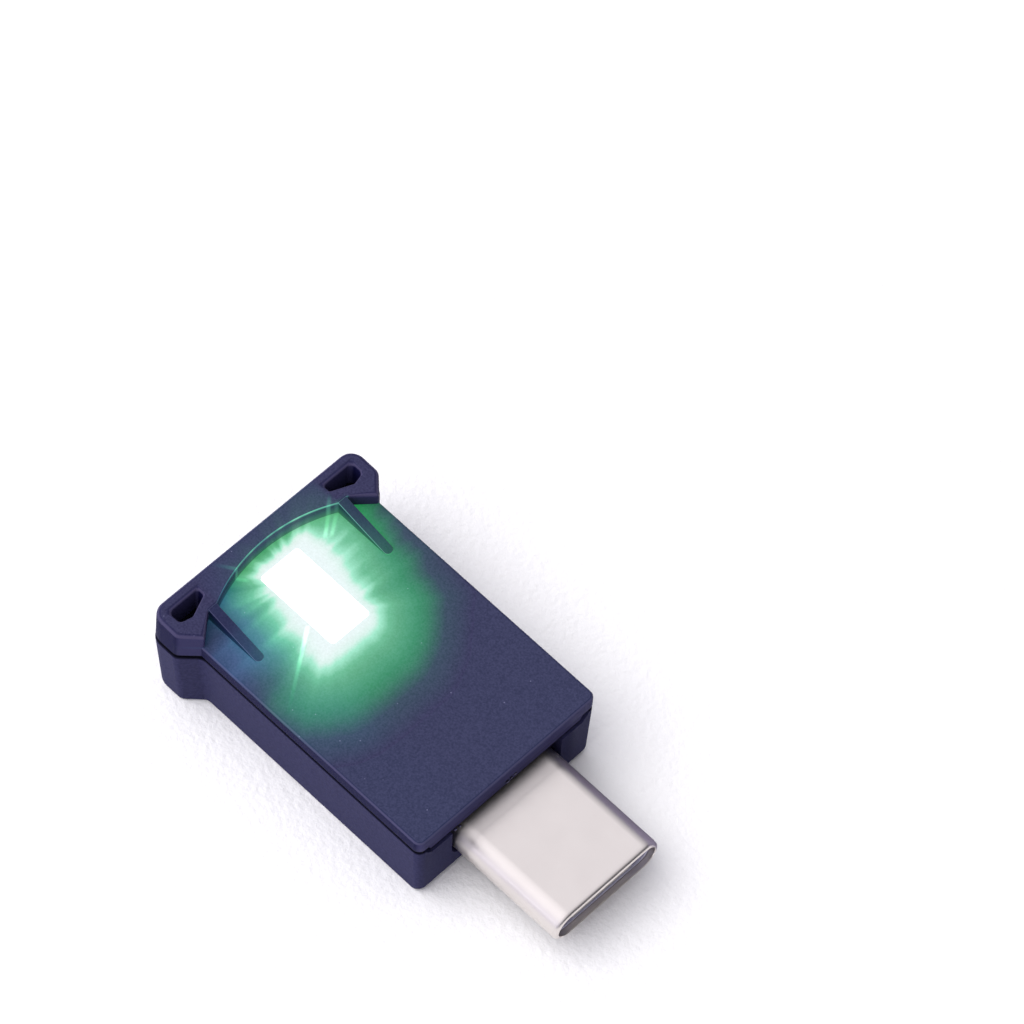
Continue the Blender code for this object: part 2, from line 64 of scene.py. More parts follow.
BASE_LOW, BASE_HIGH = millimetres("base_shell")
COVER_LOW, COVER_HIGH = millimetres("top_cover")
TUBE_LOW, TUBE_HIGH = millimetres("plug_shell")
WINDOW_LOW, WINDOW_HIGH = millimetres("light_window")
INSULATOR_LOW, INSULATOR_HIGH = millimetres("plug_insulator")
END_X = BASE_LOW[0]
FRONT_X = BASE_HIGH[0]
HALF_SPAN = COVER_HIGH[1]
BAR_TOP = COVER_HIGH[2]
LIP_BOTTOM = COVER_LOW[2]
PLUG_Z = (TUBE_LOW[2] + TUBE_HIGH[2]) / 2
PARTING_Z = 5.0
COVER_TOP = 6.1
HALF_WIDTH = 7.0

# Moulded shells
GROOVE = 0.11
WALL = 0.9
FLOOR = 0.8
DRAFT = 0.24
BOTTOM_ROUND = 0.22
FRONT_ROUND = 0.7
FRONT_FADE = 1.2
TOP_ROUND = 0.2
EASED = 0.08
CLEARANCE = 0.1
BAR_ROUND = 0.3
CORNER_ROUND = 0.5
LUG_LENGTH = 2.2
LUG_ROUND = 0.95
SLOT_FLARE = 0.22
NECK_ROUND = 0.7
BAR_MIDDLE = 1.05
BAR_SLOPE = 0.06
BAR_INSET = 0.06
BAR_LEAN = 0.1
RIB_Y = 5.09
RIB_THICK = 0.65
RIB_EDGE = 0.07
RIB_TIP_X = END_X + 6.2
LIP_HALF_WIDTH = 6.3
LIP_CHAMFER = 0.45
LIP_SETBACK = 0.14
RIM_THICK = 0.3

# What moulding leaves on the cover: flash on the lip and by the plug, and a gate's stub
MOULDING_MARKS = [
    (FRONT_X - 0.04, 0.0, 4.82, (0.07, 0.16, 0.07)),
    (FRONT_X - 0.03, 0.28, 4.95, (0.06, 0.1, 0.05)),
    (FRONT_X - 0.03, 0.56, 5.06, (0.06, 0.12, 0.05)),
    (FRONT_X - 0.05, -4.1, 4.42, (0.08, 0.14, 0.07)),
    (FRONT_X - 0.04, -3.75, 4.4, (0.07, 0.1, 0.06)),
    (-5.1, HALF_WIDTH - 0.02, 5.5, (0.3, 0.12, 0.16)),
]

# Lit window
WINDOW_X = (WINDOW_LOW[0] + WINDOW_HIGH[0]) / 2
WINDOW_LENGTH = 6.0
WINDOW_WIDTH = 3.0
WINDOW_ROUND = 0.25
WINDOW_FIT = 0.01
WINDOW_FLANGE = 0.25

# Light in the cover's skin, from the window's edge outwards as shares of GLOW_REACH
GLOW_REACH = 7.0
GREEN_GLOW = [
    (0.0, "#e8f5ee"),
    (1.0, "#000000"),
    (0.05, "#e4f4ea"),
    (0.10, "#d6f0e0"),
    (0.15, "#9ee8c0"),
    (0.23, "#61b97f"),
    (0.31, "#4da568"),
    (0.40, "#39995a"),
    (0.49, "#1a8840"),
    (0.57, "#0f7833"),
    (0.66, "#065726"),
    (0.74, "#0a3522"),
    (0.83, "#03110c"),
]
BLUE_GLOW = [
    (0.0, "#e6f5ee"),
    (1.0, "#000000"),
    (0.10, "#daefe2"),
    (0.16, "#a4e4c6"),
    (0.22, "#68cea3"),
    (0.30, "#4ea98d"),
    (0.40, "#39847f"),
    (0.53, "#2d677b"),
    (0.68, "#224b66"),
    (0.79, "#0f3b53"),
    (0.93, "#001c24"),
]
# Thin rays: origin from the window's middle, angle, length and strength
RAYS = [
    ((1.1, -1.6), -0.96, 6.0, 0.55),
    ((-2.3, 3.0), 2.25, 2.6, 0.5),
    ((-2.1, 3.3), 2.18, 2.4, 0.4),
    ((-3.2, -2.0), 3.76, 2.3, 0.35),
]

# Plug
SHELL_WALL = 0.3
MOUTH_ROUND = 0.25
COIN_LINE = 0.3
COIN_STEP = 0.03

# Painted shade: what the dark plastic goes to where no light reaches
SHADE_BLACK = "#06060f"

# Stage: what the lights face, and the plan of the card on the right of the plug
LIT_PLACE = Vector((0, 0, 3)) * MM
FLAG_PLAN = [(FRONT_X + x, y) for x, y in ((0.2, 5.2), (9.5, 5.2), (9.5, 5.4), (0.2, 5.4))]


# ---------------------------------------------------------------- outlines


def turns(corners):
    """Directions of the edges that come to and leave each corner, and the turn between them."""
    here = corners[:, :2]
    come = here - np.roll(here, 1, axis=0)
    leave = np.roll(here, -1, axis=0) - here
    coming = np.arctan2(come[:, 1], come[:, 0])
    leaving = np.arctan2(leave[:, 1], leave[:, 0])
    turn = (leaving - coming + np.pi) % (2 * np.pi) - np.pi
    return coming, leaving, turn


def pulled(corners, distance):
    """Corners moved along their bisectors, so that each edge moves in by the distance."""
    coming, _, turn = turns(corners)
    distance = np.broadcast_to(distance, turn.shape)
    bisector = coming + turn / 2 + np.pi / 2
    reach = distance / np.cos(turn / 2)
    step = np.stack([reach * np.cos(bisector), reach * np.sin(bisector)], axis=1)
    radius = corners[:, 2] - np.copysign(distance, turn)
    radius = np.where(corners[:, 2] > 0, np.maximum(radius, 0.02), 0.0)
    return np.column_stack([corners[:, :2] + step, radius])


def outline(corners):
    """The closed line through corners (x, y, radius), each cut by an arc tangent to its edges."""
    coming, _, turn = turns(corners)
    shares = np.linspace(0, 1, 11)
    lines = []
    for (x, y, radius), angle, bend in zip(corners, coming, turn):
        if radius == 0:
            lines.append(np.array([[x, y]]))
            continue
        side = math.copysign(1, bend)
        along = np.array([math.cos(angle), math.sin(angle)])
        inward = side * np.array([-along[1], along[0]])
        centre = np.array([x, y]) - along * radius * math.tan(abs(bend) / 2) + inward * radius
        sweep = angle + bend * shares - side * math.pi / 2
        lines.append(centre + radius * np.stack([np.cos(sweep), np.sin(sweep)], axis=1))
    return np.concatenate(lines)


def mirrored(half):
    """A symmetric run of corners from the half of it on the +Y side."""
    half = np.array(half, float)
    return np.concatenate([half, half[::-1] * (1, -1, 1)])


def box_corners(low_x, high_x, half_y, radius):
    """Plan of a rounded box from one X to another, symmetric about the middle."""
    return mirrored([(high_x, half_y, radius), (low_x, half_y, radius)])


def body_corners():
    """Plan of the lower shell: a rounded box that widens at its far end into two lugs."""
    lug_x = END_X + LUG_LENGTH
    neck_x = lug_x + HALF_SPAN - HALF_WIDTH
    return mirrored(
        [
            (FRONT_X, HALF_WIDTH, CORNER_ROUND),
            (neck_x, HALF_WIDTH, NECK_ROUND),
            (lug_x, HALF_SPAN, 0.6),
            (END_X, HALF_SPAN, LUG_ROUND),
        ]
    )


def room_corners():
    """Plan of the room for the board, narrower between the two lug slots."""
    return mirrored(
        [
            (FRONT_X - WALL, HALF_WIDTH - WALL, 0.4),
            (END_X + 2.75, HALF_WIDTH - WALL, 0.3),
            (END_X + 1.45, 4.2, 0.3),
        ]
    )


def slot_corners(side):
    """Plan of a lanyard slot: straight towards the end face, widening towards the outside."""
    back_x = END_X + 0.75
    corners = np.array(
        [
            (back_x, 4.95, 0.2),
            (back_x + 0.5, 4.95, 0.2),
            (back_x + 1.1, 6.35, 0.3),
            (back_x + 0.9, 7.15, 0.35),
            (back_x, 7.15, 0.35),
        ]
    )
    return corners if side > 0 else corners[::-1] * (1, -1, 1)


def bar_corners():
    """Plan of the raised bar: straight outside, and inside a shallow arc between the two ribs."""
    lug_x = END_X + LUG_LENGTH
    neck_x = lug_x + HALF_SPAN - HALF_WIDTH + 0.05
    half_chord = 4.9
    rise = LUG_LENGTH - BAR_MIDDLE
    radius = (half_chord**2 + rise**2) / (2 * rise)
    angle = np.linspace(-1, 1, 33) * math.asin(half_chord / radius)
    arc_x = END_X + BAR_MIDDLE + radius * (1 - np.cos(angle))
    arc = np.column_stack([arc_x, radius * np.sin(angle), 0 * angle])
    lug = np.array(
        [
            (lug_x, 5.6, 0.35),
            (neck_x, HALF_WIDTH - 0.05, 0.15),
            (lug_x, HALF_SPAN, 0.6),
            (END_X, HALF_SPAN, LUG_ROUND),
        ]
    )
    return np.concatenate([arc, lug, lug[::-1] * (1, -1, 1)])


def oval(width, height):
    """Across the plug: two half circles joined by flats, as (y, z) about the plug's own axis."""
    angle = np.linspace(-math.pi / 2, math.pi / 2, 28)
    radius = height / 2
    right = np.column_stack([width / 2 - radius + radius * np.cos(angle), radius * np.sin(angle)])
    return np.concatenate([right, -right])


# ---------------------------------------------------------------- skins


def level(points, height):
    """A plan outline at a height, which may differ from point to point."""
    return np.column_stack([points, np.broadcast_to(height, len(points))])


def solid(name, rings, closed=False):
    """Skins rings of equally many points, in order, with quads. Rings run anticlockwise about
    the way that the stack goes. An open stack is closed by a flat face at each end, and a closed
    one joins its last ring to its first."""
    rings = np.array(rings, float)
    levels, count, _ = rings.shape
    low = np.arange(levels if closed else levels - 1)[:, None] * count
    high = (low + count) % (levels * count)
    here = np.arange(count)
    after = (here + 1) % count
    quads = np.stack([low + here, low + after, high + after, high + here], axis=-1)
    faces = quads.reshape(-1, 4).tolist()
    if not closed:
        faces.append(here[::-1].tolist())
        faces.append((here + (levels - 1) * count).tolist())
    mesh = bpy.data.meshes.new(name)
    mesh.from_pydata((rings.reshape(-1, 3) * MM).tolist(), [], faces)
    mesh.update()
    piece = bpy.data.objects.new(name, mesh)
    bpy.context.collection.objects.link(piece)
    return piece


def quarter(steps=5):
    """Sine and one minus cosine along a quarter turn, for a rounded edge."""
    angle = np.linspace(0, math.pi / 2, steps + 1)
    return np.sin(angle), 1 - np.cos(angle)


def combined(piece, tool, operation):
    """Joins or cuts the piece with the tool for good, and throws the tool away."""
    step = piece.modifiers.new("step", "BOOLEAN")
    step.operation = operation
    step.object = tool
    graph = bpy.context.evaluated_depsgraph_get()
    mesh = bpy.data.meshes.new_from_object(piece.evaluated_get(graph))
    piece.modifiers.clear()
    piece.data = mesh
    bpy.data.objects.remove(tool)
    return piece


def finished(piece, material, node, edge=0.05):
    """Rounds what sharp edges are left, shades the piece and puts it in its CAD node's place."""
    piece.data.materials.clear()
    piece.data.materials.append(material)
    if edge:
        bevel = piece.modifiers.new("edges", "BEVEL")
        bevel.width = edge * MM
        bevel.segments = 2
        bevel.limit_method = "ANGLE"
        bevel.angle_limit = math.radians(38)
        bevel.use_clamp_overlap = True
    piece.data.shade_smooth()
    piece.data.set_sharp_from_angle(angle=math.radians(50))
    weighted = piece.modifiers.new("shading", "WEIGHTED_NORMAL")
    weighted.keep_sharp = True
    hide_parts(node)
    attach(piece, "root")
    return piece


# ---------------------------------------------------------------- shells


def lower_shell(material):
    """Lower shell. Plan outlines shrink towards the floor by the draft, about the front face,
    and curl in along the rounded bottom edge, by a larger arc at the front. The room, the notches
    and the slots are cut out."""
    corners = body_corners()
    top = PARTING_Z - GROOVE
    sine, rise = quarter()
    eased_sine, eased_rise = quarter(3)
    front = np.array([0.32, 0.45, 0.58, FRONT_ROUND])
    heights = np.concatenate([BOTTOM_ROUND * rise, front, top - EASED + EASED * eased_sine])
    pulls = np.concatenate([BOTTOM_ROUND * (1 - sine), 0 * front, EASED * eased_rise])
    rings = []
    for height, pull in zip(heights, pulls):
        points = outline(pulled(corners, pull))
        taper = DRAFT * (1 - height / PARTING_Z)
        points[:, 0] = FRONT_X + (points[:, 0] - FRONT_X) * (1 - taper / (FRONT_X - END_X))
        points[:, 1] *= 1 - taper / HALF_WIDTH
        undercut = FRONT_ROUND * (1 - math.sqrt(1 - max(1 - height / FRONT_ROUND, 0) ** 2))
        near = np.clip((points[:, 0] - FRONT_X + FRONT_FADE) / FRONT_FADE, 0, 1)
        points[:, 0] -= undercut * near
        rings.append(level(points, height))
    shell = solid("lower_shell", rings)
    room = outline(room_corners())
    combined(shell, solid("room", [level(room, FLOOR), level(room, PARTING_Z + 1)]), "DIFFERENCE")
    combined(shell, plug_notch(), "DIFFERENCE")
    combined(shell, lip_notch(), "DIFFERENCE")
    for side in (-1, 1):
        combined(shell, slot_tool(side, -1.0), "DIFFERENCE")
    return finished(shell, material, "base_shell")


def plug_notch():
    """The way out for the plug: open at the top, round below, as wide as the plug and a little."""
    half = (TUBE_HIGH[1] - TUBE_LOW[1]) / 2 + 0.2
    bottom = TUBE_LOW[2] - 0.08
    corners = np.array(
        [
            (half, bottom, 1.15),
            (half, PARTING_Z + 1, 0.0),
            (-half, PARTING_Z + 1, 0.0),
            (-half, bottom, 1.15),
        ]
    )
    return across("notch", outline(corners), FRONT_X - WALL - 1, FRONT_X + 1)


def across(name, points, low, high):
    """A prism whose section (y, z) runs along X."""
    ends = [np.column_stack([np.full(len(points), x), points]) for x in (low, high)]
    return solid(name, ends)


def lip_notch():
    """The room for the cover's lip in the front wall, with slanting ends."""
    deep = LIP_BOTTOM - CLEARANCE
    wide = LIP_HALF_WIDTH + CLEARANCE
    points = np.array(
        [
            (wide - LIP_CHAMFER, deep),
            (wide + LIP_CHAMFER, PARTING_Z + 0.25),
            (-wide - LIP_CHAMFER, PARTING_Z + 0.25),
            (-wide + LIP_CHAMFER, deep),
        ]
    )
    return across("lip_notch", points, FRONT_X - WALL - 1, FRONT_X + 1)


def slot_tool(side, low, bar_top=None):
    """What cuts a slot from a height up, straight through the lower shell, or flared by a quarter
    circle where it leaves the bar's top."""
    corners = slot_corners(side)
    rings = [level(outline(corners), low)]
    if bar_top is None:
        rings.append(level(outline(corners), PARTING_Z + 1))
        return solid("slot", rings)
    sine, rise = quarter()
    for up, out in zip(sine, rise):
        points = outline(pulled(corners, -SLOT_FLARE * out))
        rings.append(level(points, bar_top - SLOT_FLARE + SLOT_FLARE * up))
    rings.append(level(outline(pulled(corners, -SLOT_FLARE)), bar_top + 1.0))
    return solid("slot", rings)


def rounded_stack(corners, low, high, radius, share=1.0):
    """Rings from an eased foot up a wall and over its rounded top edge. The share scales the top
    rounding corner by corner."""
    sine, rise = quarter()
    eased_sine, eased_rise = quarter(3)
    rings = []
    for up, out in zip(eased_rise, 1 - eased_sine):
        rings.append(level(outline(pulled(corners, EASED * out)), low + EASED * up))
    for up, out in zip(sine, rise):
        points = outline(pulled(corners, radius * out * share))
        rings.append(level(points, high - radius + radius * up))
    return rings


def upper_shell(material):
    """Upper shell: a plate with rounded edges, the raised bar and two wedge ribs joined to it,
    the rim and the front lip below, and the window and the slots cut through."""
    low = PARTING_Z + GROOVE
    plate = box_corners(END_X + 0.4, FRONT_X, HALF_WIDTH, CORNER_ROUND)
    shell = solid("upper_shell", rounded_stack(plate, low, COVER_TOP, TOP_ROUND))
    combined(shell, end_bar(low), "UNION")
    for side in (-1, 1):
        combined(shell, rib(side), "UNION")
    combined(shell, rim(low), "UNION")
    combined(shell, front_lip(low), "UNION")
    for x, y, z, size in MOULDING_MARKS:
        combined(shell, blob((x, y, z), size), "UNION")
    hole = outline(
        box_corners(
            WINDOW_X - WINDOW_LENGTH / 2 - WINDOW_FIT,
            WINDOW_X + WINDOW_LENGTH / 2 + WINDOW_FIT,
            WINDOW_WIDTH / 2 + WINDOW_FIT,
            WINDOW_ROUND,
        )
    )
    combined(shell, solid("hole", [level(hole, PARTING_Z - 1), level(hole, 8.0)]), "DIFFERENCE")
    for side in (-1, 1):
        combined(shell, slot_tool(side, PARTING_Z - 1, BAR_TOP - 0.05), "DIFFERENCE")
    return finished(shell, material, "top_cover")


def end_bar(low):
    """The raised bar. Its outer edge is rounded, its inner arc keeps a crisper edge, its ends lean
    in with height, and its top falls a little towards the plug."""
    corners = bar_corners()
    on_arc = (np.abs(corners[:, 1]) < 6.0) & (corners[:, 0] > END_X + 0.5)
    crisp = np.where(on_arc, 0.3, 1.0)
    rings = np.array(rounded_stack(corners, low, BAR_TOP, BAR_ROUND, crisp))
    climb = (rings[..., 2] - low) / (BAR_TOP - low)
    rings[..., 1] *= 1 - (BAR_INSET + BAR_LEAN * climb) / HALF_SPAN
    share = np.clip((rings[..., 2] - COVER_TOP) / (BAR_TOP - COVER_TOP), 0, 1)
    rings[..., 2] -= BAR_SLOPE * (rings[..., 0] - END_X) * share
    return solid("bar", rings)


def rib(side):
    """A wedge: its plan is a strip with a round tip, and its top slopes down to the plate."""
    root_x = END_X + LUG_LENGTH - 0.4
    half = RIB_THICK / 2
    middle = side * RIB_Y
    corners = np.array(
        [
            (RIB_TIP_X, middle - half, half - 0.01),
            (RIB_TIP_X, middle + half, half - 0.01),
            (root_x, middle + half, 0.0),
            (root_x, middle - half, 0.0),
        ]
    )

    def top(points):
        """The slope's height at each point, from the tip up to just under the bar's top."""
        share = (RIB_TIP_X - points[:, 0]) / (RIB_TIP_X - root_x)
        return COVER_TOP + 0.03 + (BAR_TOP - 0.1 - COVER_TOP) * share

    sine, rise = quarter(3)
    rings = [level(outline(corners), COVER_TOP - 0.3)]
    for up, out in zip(sine, rise):
        points = outline(pulled(corners, RIB_EDGE * out))
        rings.append(level(points, top(points) - RIB_EDGE + RIB_EDGE * up))
    return solid("rib", rings)


def rim(low):
    """The locating rim under the cover, which fits inside the lower shell's walls."""
    outer = outline(pulled(room_corners(), CLEARANCE))
    inner = outline(pulled(room_corners(), CLEARANCE + RIM_THICK))
    heights = (PARTING_Z - 0.6, low + 0.2)
    rings = [level(outer, z) for z in heights] + [level(inner, z) for z in heights[::-1]]
    return solid("rim", rings, closed=True)


def front_lip(low):
    """The strip of the cover that drops into the front wall, set back by a hair from its face."""
    points = np.array(
        [
            (LIP_HALF_WIDTH - LIP_CHAMFER, LIP_BOTTOM),
            (LIP_HALF_WIDTH, low),
            (LIP_HALF_WIDTH, low + 0.3),
            (-LIP_HALF_WIDTH, low + 0.3),
            (-LIP_HALF_WIDTH, low),
            (-LIP_HALF_WIDTH + LIP_CHAMFER, LIP_BOTTOM),
        ]
    )
    return across("lip", points, FRONT_X - WALL, FRONT_X - LIP_SETBACK)


def blob(centre, size):
    """A small lump: an ellipsoid, as rings from its lowest point to its highest."""
    turn = np.linspace(0, 2 * math.pi, 17)[:-1]
    circle = np.column_stack([np.cos(turn), np.sin(turn)])
    rings = [
        np.array(centre) + level(circle * math.cos(lift), math.sin(lift)) * size
        for lift in np.linspace(-1.4, 1.4, 7)
    ]
    return solid("blob", rings)


def lit_window(material):
    """The frosted insert: a hair below the cover's top, with its top edge rounded and a flange
    under the cover."""
    corners = box_corners(
        WINDOW_X - WINDOW_LENGTH / 2,
        WINDOW_X + WINDOW_LENGTH / 2,
        WINDOW_WIDTH / 2,
        WINDOW_ROUND,
    )
    wide = outline(pulled(corners, -WINDOW_FLANGE))
    seat = PARTING_Z + 0.05
    rings = [level(wide, seat - 0.3), level(wide, seat), level(outline(corners), seat)]
    sine, rise = quarter(3)
    for up, out in zip(sine, rise):
        rings.append(level(outline(pulled(corners, 0.05 * out)), COVER_TOP - 0.06 + 0.05 * up))
    piece = solid("lit_window", rings)
    return finished(piece, material, "light_window", edge=0)


# ---------------------------------------------------------------- plug


def plug_ring(x, width, height):
    """The plug's oval, this wide and this high, in the plane at x."""
    points = oval(width, height)
    return np.column_stack([np.full(len(points), x), points[:, 0], points[:, 1] + PLUG_Z])


def plug_tube(material):
    """The drawn shell: an oval carried along X, its mouth rolled in by a quarter circle after a
    shallow coined step, and the bore carried back."""
    width = TUBE_HIGH[1] - TUBE_LOW[1]
    height = TUBE_HIGH[2] - TUBE_LOW[2]
    tip = TUBE_HIGH[0]
    step = COIN_STEP
    sine, rise = quarter(6)
    rings = [
        plug_ring(TUBE_LOW[0], width, height),
        plug_ring(tip - COIN_LINE - 0.06, width, height),
        plug_ring(tip - COIN_LINE, width - step, height - step),
        plug_ring(tip - COIN_LINE + 0.06, width - step, height - step),
    ]
    for forward, inward in zip(sine, rise):
        shrink = step + 2 * MOUTH_ROUND * inward
        x = tip - MOUTH_ROUND + MOUTH_ROUND * forward
        rings.append(plug_ring(x, width - shrink, height - shrink))
    bore = 2 * SHELL_WALL
    rings.append(plug_ring(tip - 0.04, width - bore, height - bore))
    rings.append(plug_ring(TUBE_LOW[0], width - bore, height - bore))
    piece = solid("plug_tube", rings, closed=True)
    return finished(piece, material, "plug_shell", edge=0.02)


def tongue_housing(material):
    """The grey moulding in the shell, hollow for the socket's tongue, with a lead-in to it."""
    width = INSULATOR_HIGH[1] - INSULATOR_LOW[1]
    height = INSULATOR_HIGH[2] - INSULATOR_LOW[2]
    bore_width = 6.7
    bore_height = 1.24
    tip = INSULATOR_HIGH[0]
    rings = [
        plug_ring(INSULATOR_LOW[0], width, height),
        plug_ring(tip - 0.08, width, height),
        plug_ring(tip, width - 0.12, height - 0.12),
        plug_ring(tip, bore_width + 0.1, bore_height + 0.1),
        plug_ring(tip - 0.15, bore_width, bore_height),
        plug_ring(INSULATOR_LOW[0], bore_width, bore_height),
    ]
    piece = solid("tongue_housing", rings, closed=True)
    return finished(piece, material, "plug_insulator", edge=0)


# ---------------------------------------------------------------- materials


def linear(colour):
    """An sRGB hex colour as the linear values that a shader takes."""
    parts = np.array([int(colour[i : i + 2], 16) for i in (1, 3, 5)]) / 255
    curved = np.where(parts <= 0.04045, parts / 12.92, ((parts + 0.055) / 1.055) ** 2.4)
    return (*curved.tolist(), 1.0)


def add(tree, kind, inputs=(), stops=(), **settings):
    """Adds a node and gives its outputs. Each input, by name or in order, is a value or the output
    that feeds it. Stops are a ramp's (place, hex colour) pairs, first and last included."""
    node = tree.nodes.new("ShaderNode" + kind)
    for key, value in settings.items():
        setattr(node, key, value)
    for key, value in inputs.items() if isinstance(inputs, dict) else enumerate(inputs):
        if isinstance(value, bpy.types.NodeSocket):
            tree.links.new(value, node.inputs[key])
        else:
            node.inputs[key].default_value = value
    for i, (position, colour) in enumerate(stops):
        elements = node.color_ramp.elements
        stop = elements[i] if i < 2 else elements.new(1.0)
        stop.position = position
        stop.color = linear(colour)
    return node.outputs


def new_material(name, settings):
    """A material with one Principled shader, and where on the object each point is, in mm."""
    made = bpy.data.materials.new(name)
    made.use_nodes = True
    tree = made.node_tree
    shader = tree.nodes["Principled BSDF"]
    for key, value in settings.items():
        shader.inputs[key].default_value = value
    object_place = add(tree, "TexCoord")["Object"]
    place = add(tree, "VectorMath", {0: object_place, "Scale": 1 / MM}, operation="SCALE")[0]
    return made, tree, shader.inputs, place


def grain(tree, shader, place, size, depth):
    """Fine bumps of this size and depth in millimetres, as spark erosion leaves in a mould."""
    noise = add(tree, "TexNoise", {"Vector": place, "Scale": 1 / size, "Detail": 3.0})["Fac"]
    bump = add(tree, "Bump", {"Strength": 1.0, "Distance": depth * MM, "Height": noise})
    tree.links.new(bump["Normal"], shader["Normal"])
    return noise


def case_plastic():
    """ABS in blue-black, moulded against a spark-eroded tool: a dull, even skin with grain of
    about a tenth of a millimetre. Painted shade makes it darker down its sides, in a fine line
    where its top starts to round over, and black in the parting line and under the lip. Painted
    light makes its front face a tone lighter, and a painted highlight, partly wear, makes its
    rounded edges a tone lighter. It has a few pale dust specks, flash that has turned white, and
    light from the lamps inside that spreads through the skin round the window."""
    made, tree, shader, place = new_material(
        "abs_moulded_blue_black",
        {"Roughness": 0.6, "IOR": 1.5, "Specular IOR Level": 0.06, "Emission Strength": 1.0},
    )
    noise = grain(tree, shader, place, 0.11, 0.012)
    tones = [(0.32, "#2e2e4a"), (0.72, "#3d3d5b"), (0.52, "#353552")]
    tint = add(tree, "ValToRGB", [noise], tones)["Color"]
    normal = add(tree, "NewGeometry")["Normal"]
    upright = add(tree, "SeparateXYZ", [normal])["Z"]
    # Painted shade: a fine darker line where the top starts to round over, and the upright walls
    # darker, mixed towards a deep blue-black.
    edge_start_shade = add(tree, "MapRange", [upright, 0.995, 0.97, 0.0, 0.45])[0]
    wall = add(tree, "MapRange", [upright, 0.45, 0.15, 0.0, 0.5])[0]
    painted_shade = add(tree, "Math", [edge_start_shade, wall], operation="ADD")[0]
    deep = linear("#12123a")
    painted_sides = add(tree, "Mix", {0: painted_shade, "A": tint, "B": deep}, data_type="RGBA")["Result"]
    # Painted light: faces turned towards the plug end are mixed a tone paler.
    facing = add(tree, "SeparateXYZ", [normal])["X"]
    front = add(tree, "MapRange", [facing, 0.3, 0.8, 0.0, 0.6])[0]
    pale = linear("#4c4a74")
    painted_sides = add(tree, "Mix", {0: front, "A": painted_sides, "B": pale}, data_type="RGBA")["Result"]
    # Painted highlight, partly wear: rounded edges between flat and upright are mixed a tone
    # lighter.
    over = add(tree, "MapRange", [upright, 0.93, 0.8, 0.0, 0.7])[0]
    under = add(tree, "MapRange", [upright, 0.25, 0.5, 0.0, 1.0])[0]
    edge_sheen_and_wear = add(tree, "Math", [over, under], operation="MULTIPLY")[0]
    edge_sheen_tone = linear("#4c4866")
    edges_sheened = add(tree, "Mix", {0: edge_sheen_and_wear, "A": painted_sides, "B": edge_sheen_tone}, data_type="RGBA")["Result"]
    # Painted shade: black along the parting line and under the lip.
    dark = {0: seam_shade(tree, place), "A": edges_sheened, "B": linear(SHADE_BLACK)}
    seam_shaded = add(tree, "Mix", dark, data_type="RGBA")["Result"]
    dust = add(tree, "TexVoronoi", {"Vector": place, "Scale": 0.9})["Distance"]
    speck = add(tree, "MapRange", [dust, 0.02, 0.045, 1.0, 0.0])[0]
    dusty = {0: speck, "A": seam_shaded, "B": linear("#6a6a88")}
    dusted = add(tree, "Mix", dusty, data_type="RGBA")["Result"]
    proud = add(tree, "SeparateXYZ", [place])["X"]
    white = add(tree, "MapRange", [proud, FRONT_X + 0.002, FRONT_X + 0.02, 0.0, 0.8])[0]
    bruised = {0: white, "A": dusted, "B": linear("#9a9ab0")}
    marked = add(tree, "Mix", bruised, data_type="RGBA")["Result"]
    tree.links.new(marked, shader["Base Color"])
    tree.links.new(glow(tree, place, normal, noise), shader["Emission Color"])
    return made


def seam_shade(tree, place):
    """Painted shade where no light gets into the parting line and the gap under the cover's lip."""
    height = add(tree, "SeparateXYZ", [place])["Z"]
    share = 0.0
    for middle, half in ((PARTING_Z + 0.04, 0.15), (LIP_BOTTOM, 0.08)):
        off = add(tree, "Math", [height, middle], operation="SUBTRACT")[0]
        off = add(tree, "Math", [off], operation="ABSOLUTE")[0]
        line = add(tree, "MapRange", [off, half, half + 0.04, 0.92, 0.0])[0]
        share = add(tree, "Math", [share, line], operation="MAXIMUM")[0]
    return share


def clamped(tree, place, half_x, half_y):
    """The nearest place in a flat box about the window's middle, and the way there from it."""
    low = add(tree, "VectorMath", [place, (-half_x, -half_y, 0)], operation="MAXIMUM")[0]
    nearest = add(tree, "VectorMath", [low, (half_x, half_y, 0)], operation="MINIMUM")[0]
    return nearest, add(tree, "VectorMath", [place, nearest], operation="SUBTRACT")[0]


